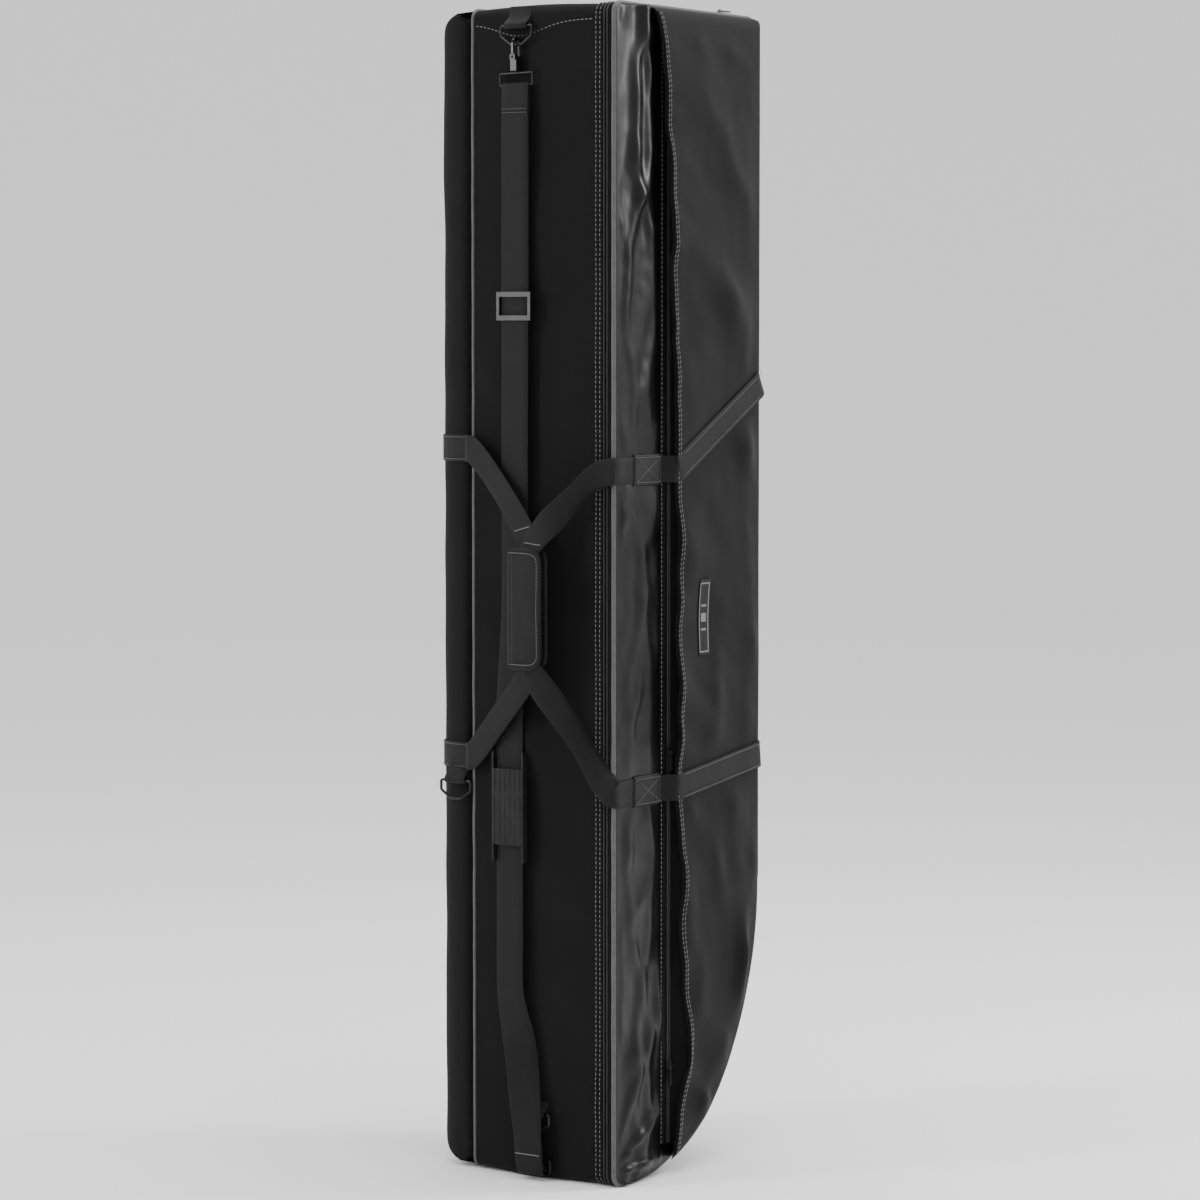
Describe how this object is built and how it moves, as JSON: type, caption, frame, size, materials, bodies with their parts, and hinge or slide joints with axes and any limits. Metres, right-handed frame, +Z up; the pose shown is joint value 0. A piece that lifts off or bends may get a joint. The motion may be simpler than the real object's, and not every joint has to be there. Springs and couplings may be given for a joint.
{
  "type": "snowboard bag",
  "caption": "Tall padded snowboard bag with a zip-round lid, front pocket, wrapped webbing carry handles and a clip-on shoulder strap.",
  "frame": {"origin": "middle of the flat foot under the bottom corner on the handles' side", "axes": "+Z up along the bag's length, -Y out of the lid, -X out of the side with the handles"},
  "size_m": [0.4298, 0.3403, 1.6644],
  "materials": {
    "side_polyester": "matte black woven polyester",
    "coated_panel": "glossy black coated cloth, wrinkled",
    "pocket_polyester": "matte charcoal-black woven polyester",
    "padding": "closed-cell foam",
    "lining": "thin plain-woven lining",
    "piping": "grey piping cord covered in satin cloth",
    "zip_tape": "knitted zip tape",
    "zip_coil": "nylon coil",
    "webbing": "black woven carry webbing",
    "strap_webbing": "black woven shoulder webbing",
    "patch": "black leatherette, box stitched",
    "badge": "moulded badge with a pale frame and bars",
    "grip_cloth": "padded smooth cloth with a twill edge",
    "touch_tape": "hook and loop tape",
    "ring_metal": "dark nickel-plated wire",
    "hook_plastic": "moulded black nylon",
    "pad_rubber": "moulded black rubber",
    "zip_metal": "black enamelled metal"
  },
  "bodies": {
    "shell": {"back_panel": "side_polyester", "back_foam": "padding", "gusset_near": "side_polyester", "gusset_top": "side_polyester", "gusset_far": "side_polyester", "gusset_toe": "side_polyester", "gusset_foam": "padding", "shell_lining": "lining", "back_piping": "piping", "main_zip_tape_shell": "zip_tape", "main_zip_coil_shell": "zip_coil", "ring_tab_top": "webbing", "ring_tab_bottom": "webbing", "ring_tab_back": "webbing", "back_webbing_upper": "webbing", "back_webbing_lower": "webbing"},
    "lid": {"front_panel": "coated_panel", "lid_foam": "padding", "lid_lining": "lining", "front_piping": "piping", "main_zip_tape_lid": "zip_tape", "main_zip_coil_lid": "zip_coil", "pocket_panel": "pocket_polyester", "pocket_zip_tape_panel": "zip_tape", "pocket_zip_coil_panel": "zip_coil", "pocket_zip_tape_flap": "zip_tape", "pocket_zip_coil_flap": "zip_coil", "front_webbing_upper": "webbing", "front_webbing_lower": "webbing", "handle_patch_upper": "patch", "handle_patch_lower": "patch", "badge": "badge"},
    "handle_front": {"handle_front_webbing": "webbing"},
    "handle_back": {"handle_back_webbing": "webbing", "grip_wrap": "grip_cloth", "grip_hook_tape": "touch_tape"},
    "grip_flap": {"grip_flap": "grip_cloth", "grip_loop_tape": "touch_tape"},
    "strap": {"strap_webbing": "strap_webbing", "strap_loop_top": "ring_metal", "strap_loop_bottom": "ring_metal"},
    "strap_adjuster": {"strap_adjuster": "hook_plastic"},
    "shoulder_pad": {"shoulder_pad": "pad_rubber"},
    "main_zip_slider": {"main_zip_slider": "zip_metal"},
    "main_zip_pull": {"main_zip_pull": "zip_metal"},
    "snap_hook_top": {"snap_hook_top": "hook_plastic"},
    "snap_gate_top": {"snap_gate_top": "hook_plastic"},
    "snap_hook_bottom": {"snap_hook_bottom": "hook_plastic"},
    "snap_gate_bottom": {"snap_gate_bottom": "hook_plastic"},
    "ring_top": {"ring_top": "ring_metal"},
    "ring_bottom": {"ring_bottom": "ring_metal"},
    "ring_back": {"ring_back": "ring_metal"},
    "pocket_zip_upper_slider": {"pocket_zip_upper_slider": "zip_metal"},
    "pocket_zip_upper_pull": {"pocket_zip_upper_pull": "zip_metal"},
    "pocket_zip_lower_slider": {"pocket_zip_lower_slider": "zip_metal"},
    "pocket_zip_lower_pull": {"pocket_zip_lower_pull": "zip_metal"}
  },
  "joints": [
    {"name": "lid_open", "type": "hinge", "parent": "shell", "child": "lid", "pos_m": [0.3415, -0.118, 0.825], "axis": [0, 0, 1], "range_deg": [0, 170]},
    {"name": "handle_back_lift", "type": "hinge", "parent": "shell", "child": "handle_back", "pos_m": [-0.0265, 0.1285, 0.811], "axis": [0, 0, -1], "range_deg": [0, 5]},
    {"name": "handle_front_lift", "type": "hinge", "parent": "lid", "child": "handle_front", "pos_m": [0.0162, -0.1272, 0.778], "axis": [0, 0, 1], "range_deg": [0, 6]},
    {"name": "grip_flap_open", "type": "hinge", "parent": "handle_back", "child": "grip_flap", "pos_m": [-0.07372, 0.02322, 0.811], "axis": [0, 0, -1], "range_deg": [0, 165]},
    {"name": "strap_twist", "type": "hinge", "parent": "shell", "child": "strap", "pos_m": [-0.035, 0.006, 0.024], "axis": [0, 0.0182, 0.9998], "range_deg": [-6, 3.3]},
    {"name": "snap_hook_top_swivel", "type": "hinge", "parent": "strap", "child": "snap_hook_top", "pos_m": [-0.035, 0.034, 1.558], "axis": [0, 0.0182, 0.9998], "range_deg": [-20, 8]},
    {"name": "snap_gate_top_open", "type": "hinge", "parent": "snap_hook_top", "child": "snap_gate_top", "pos_m": [-0.043, 0.03444, 1.582], "axis": [0, 0.9998, -0.0182], "range_deg": [0, 9], "stiffness_Nm_per_rad": 0.02},
    {"name": "snap_hook_bottom_swivel", "type": "hinge", "parent": "strap", "child": "snap_hook_bottom", "pos_m": [-0.035, 0.006, 0.024], "axis": [0, 0.0182, 0.9998], "range_deg": [-20, 8]},
    {"name": "snap_gate_bottom_open", "type": "hinge", "parent": "snap_hook_bottom", "child": "snap_gate_bottom", "pos_m": [-0.043, 0.00644, 0.048], "axis": [0, 0.9998, -0.0182], "range_deg": [0, 9], "stiffness_Nm_per_rad": 0.02},
    {"name": "ring_top_swing", "type": "hinge", "parent": "shell", "child": "ring_top", "pos_m": [-0.035, 0.034, 1.624], "axis": [0, 1, 0], "range_deg": [-5, 1]},
    {"name": "ring_bottom_swing", "type": "hinge", "parent": "shell", "child": "ring_bottom", "pos_m": [-0.035, 0.006, 0.09], "axis": [0, 1, 0], "range_deg": [-5, 1]},
    {"name": "ring_back_swing", "type": "hinge", "parent": "shell", "child": "ring_back", "pos_m": [-0.0275, 0.147, 0.556], "axis": [0, 1, 0], "range_deg": [0, 100]},
    {"name": "strap_adjuster_slide", "type": "slide", "parent": "strap", "child": "strap_adjuster", "axis": [0, 0, -1], "range_m": [0, 0.38]},
    {"name": "shoulder_pad_slide", "type": "slide", "parent": "strap", "child": "shoulder_pad", "axis": [0, 0, -1], "range_m": [0, 0.18]},
    {"name": "main_zip_slide", "type": "slide", "parent": "shell", "child": "main_zip_slider", "axis": [-1, 0, 0], "range_m": [0, 0.26]},
    {"name": "main_zip_pull_swing", "type": "hinge", "parent": "main_zip_slider", "child": "main_zip_pull", "pos_m": [0.2702, -0.109, 1.658], "axis": [0, -1, 0], "range_deg": [0, 165]},
    {"name": "pocket_zip_upper_slide", "type": "slide", "parent": "lid", "child": "pocket_zip_upper_slider", "axis": [0, 0, 1], "range_m": [0, 1]},
    {"name": "pocket_zip_upper_pull_swing", "type": "hinge", "parent": "pocket_zip_upper_slider", "child": "pocket_zip_upper_pull", "pos_m": [0.1055, -0.1362, 0.6013], "axis": [-1, 0, 0], "range_deg": [0, 150]},
    {"name": "pocket_zip_lower_slide", "type": "slide", "parent": "lid", "child": "pocket_zip_lower_slider", "axis": [0, 0, 1], "range_m": [-0.09, 0.36]},
    {"name": "pocket_zip_lower_pull_swing", "type": "hinge", "parent": "pocket_zip_lower_slider", "child": "pocket_zip_lower_pull", "pos_m": [0.1055, -0.1362, 0.1493], "axis": [-1, 0, 0], "range_deg": [0, 150]}
  ],
  "couplings": [
    {"joint": "handle_front_lift", "follows": "handle_back_lift", "ratio": 1.18}
  ]
}
